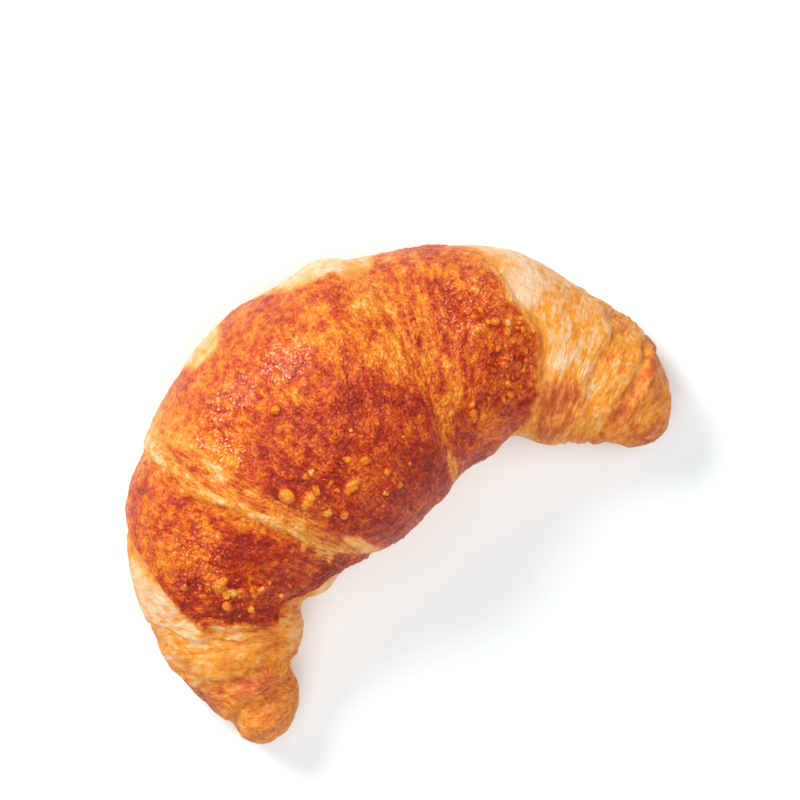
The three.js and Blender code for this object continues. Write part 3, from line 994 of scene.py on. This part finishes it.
def blisterTree(material):
    tree, work, given = newTree("crustBlisters", blisterLook["inputs"])
    density = work.attribute("crowd") * given.out("Crowding")
    points = work.node("GeometryNodeDistributePointsOnFaces", inputs={
        "Mesh": given.out("Geometry"), "Density": density, "Seed": given.out("Seed")})
    chances = {"Seed": blisterLook["sizeSeed"]}
    chance = work.node("FunctionNodeRandomValue", {"data_type": "FLOAT"}, chances, output=1)
    spread = given.out("Largest") - given.out("Smallest")
    size = given.out("Smallest") + spread * chance ** blisterLook["smallness"]
    shortest, longest = blisterLook["lengths"]
    lengths = {2: shortest, 3: longest, "Seed": blisterLook["lengthSeed"]}
    longer = work.node("FunctionNodeRandomValue", {"data_type": "FLOAT"}, lengths, output=1)
    sides = work.join(size * longer, size / longer, size * given.out("Flatness"))
    scale = work.stretched(sides, 1 / metre, 1 / metre, 1 / metre)
    roundness = {"Radius": 1.0, "Subdivisions": blisterLook["subdivisions"]}
    ball = work.node("GeometryNodeMeshIcoSphere", inputs=roundness)
    position = work.node("GeometryNodeInputPosition")
    height = work.node("ShaderNodeSeparateXYZ", inputs={0: position}).out("Z")
    ball = work.keep(ball, "top", height)
    domes = work.node("GeometryNodeInstanceOnPoints", inputs={
        "Points": points, "Instance": ball, "Rotation": points.out("Rotation"), "Scale": scale})
    domes = work.node("GeometryNodeRealizeInstances", inputs={0: domes})
    waving = {"Vector": position, "Scale": blisterLook["dentSize"] * metre}
    dent = work.node("ShaderNodeTexNoise", inputs=waving, output="Color")
    dent = work.vector("SUBTRACT", dent, (0.5, 0.5, 0.5))
    dent = work.scaled(dent, blisterLook["dent"] / metre)
    domes = work.node("GeometryNodeSetPosition", inputs={"Geometry": domes, "Offset": dent})
    place = work.stretched(position, metre, metre, metre)
    domes = work.keep(domes, "plainPlace", place, "FLOAT_VECTOR")
    risen = work.share(work.attribute("top"), *blisterLook["top"], True)
    tone = work.blend(risen, blisterLook["footTone"], blisterLook["topTone"])
    tone = tone + (work.noise(place, *blisterLook["toneNoise"]) - 0.5) * blisterLook["toneSpread"]
    domes = work.keep(domes, "toneBaked", tone)
    domes = work.node("GeometryNodeSetShadeSmooth", inputs={0: domes})
    finishTree(work, domes, material)
    return tree


print("Raising the blisters")
blisters = madeBy(blisterTree(bakedCrust), "blisters", blisterLook["inputs"], crust.data.copy())
print("blister faces", len(blisters.data.polygons))
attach(blisters, "root")

# The table, the light and the camera, in metres. A light's place: turned from +Y to +X, height, distance.
studio = {
    "tableSize": 3.0,
    "tableDrop": 0.0002,
    "tableColour": linear(244, 250, 252),
    "tableRoughness": 0.8,
    "tableSpecular": 0.1,
    "aim": (0.0142, 0.0024, 0.022),  # the middle of the picture
    "distance": 0.9,
    "pictureWidth": 0.2051,
    "sensor": 36.0,
    "turn": -38.0,  # the crescent lies aslant in the picture
    "skyStrength": 0.08,
    "skyColour": (1.0, 1.0, 1.0, 1.0),
    "keyLight": {"turn": -8.0, "lift": 38.0, "away": 1.2, "size": 0.6, "power": 13.6, "seen": "diffuse"},
    "fillLeft": {"turn": -130.0, "lift": 55.0, "away": 1.4, "size": 1.2, "power": 7.6, "seen": "diffuse"},
    "fillRight": {"turn": 130.0, "lift": 55.0, "away": 1.4, "size": 1.2, "power": 7.6, "seen": "diffuse"},
    "glintLight": {"turn": -8.0, "lift": 47.0, "away": 1.2, "size": 0.16, "power": 11.0, "seen": "glossy"},
    "fillAbove": {"turn": 0.0, "lift": 90.0, "away": 1.4, "size": 1.4, "power": 5.5, "seen": "diffuse"},
}


def tableTop():
    half = studio["tableSize"] / 2
    mesh = bpy.data.meshes.new("tableTop")
    corners = [(-half, -half), (half, -half), (half, half), (-half, half)]
    mesh.from_pydata([(x, y, -studio["tableDrop"]) for x, y in corners], [], [(0, 1, 2, 3)])
    table = bpy.data.objects.new("tableTop", mesh)
    bpy.context.scene.collection.objects.link(table)
    paint = bpy.data.materials.new("paleTable")
    work = shaderWork(paint)
    surface = work.node("ShaderNodeBsdfPrincipled", inputs={
        "Base Color": studio["tableColour"],
        "Roughness": studio["tableRoughness"],
        "Specular IOR Level": studio["tableSpecular"],
    })
    work.node("ShaderNodeOutputMaterial", inputs={"Surface": surface})
    mesh.materials.append(paint)


def softLight(name):
    values = studio[name]
    lamp = bpy.data.lights.new(name, "AREA")
    lamp.shape = "DISK"
    lamp.size = values["size"]
    lamp.energy = values["power"]
    holder = bpy.data.objects.new(name, lamp)
    turn, lift = math.radians(values["turn"]), math.radians(values["lift"])
    level = values["away"] * math.cos(lift)
    holder.location = (level * math.sin(turn), level * math.cos(turn), values["away"] * math.sin(lift))
    holder.rotation_euler = (lift - math.pi / 2, 0, -turn)
    holder.visible_diffuse = values["seen"] == "diffuse"
    holder.visible_glossy = values["seen"] == "glossy"
    bpy.context.scene.collection.objects.link(holder)


def studioLight():
    scene = bpy.context.scene
    scene.world = bpy.data.worlds.new("paleRoom")
    scene.world.use_nodes = True
    scene.world.node_tree.nodes.clear()
    work = NodeWork(scene.world.node_tree)
    glow = {"Color": studio["skyColour"], "Strength": studio["skyStrength"]}
    sky = work.node("ShaderNodeBackground", inputs=glow)
    work.node("ShaderNodeOutputWorld", inputs={"Surface": sky})
    for name in ("keyLight", "glintLight", "fillLeft", "fillRight", "fillAbove"):
        softLight(name)
    scene.view_settings.view_transform = "Standard"


def cameraAbove():
    lens = bpy.data.cameras.new("cameraAbove")
    lens.sensor_width = studio["sensor"]
    lens.lens = studio["sensor"] * studio["distance"] / studio["pictureWidth"]
    camera = bpy.data.objects.new("cameraAbove", lens)
    x, y, z = studio["aim"]
    camera.location = (x, y, z + studio["distance"])
    camera.rotation_euler = (0, 0, math.radians(studio["turn"]))
    bpy.context.scene.collection.objects.link(camera)
    bpy.context.scene.camera = camera


print("Setting the table, the light and the camera")
tableTop()
studioLight()
cameraAbove()
bpy.context.view_layer.update()
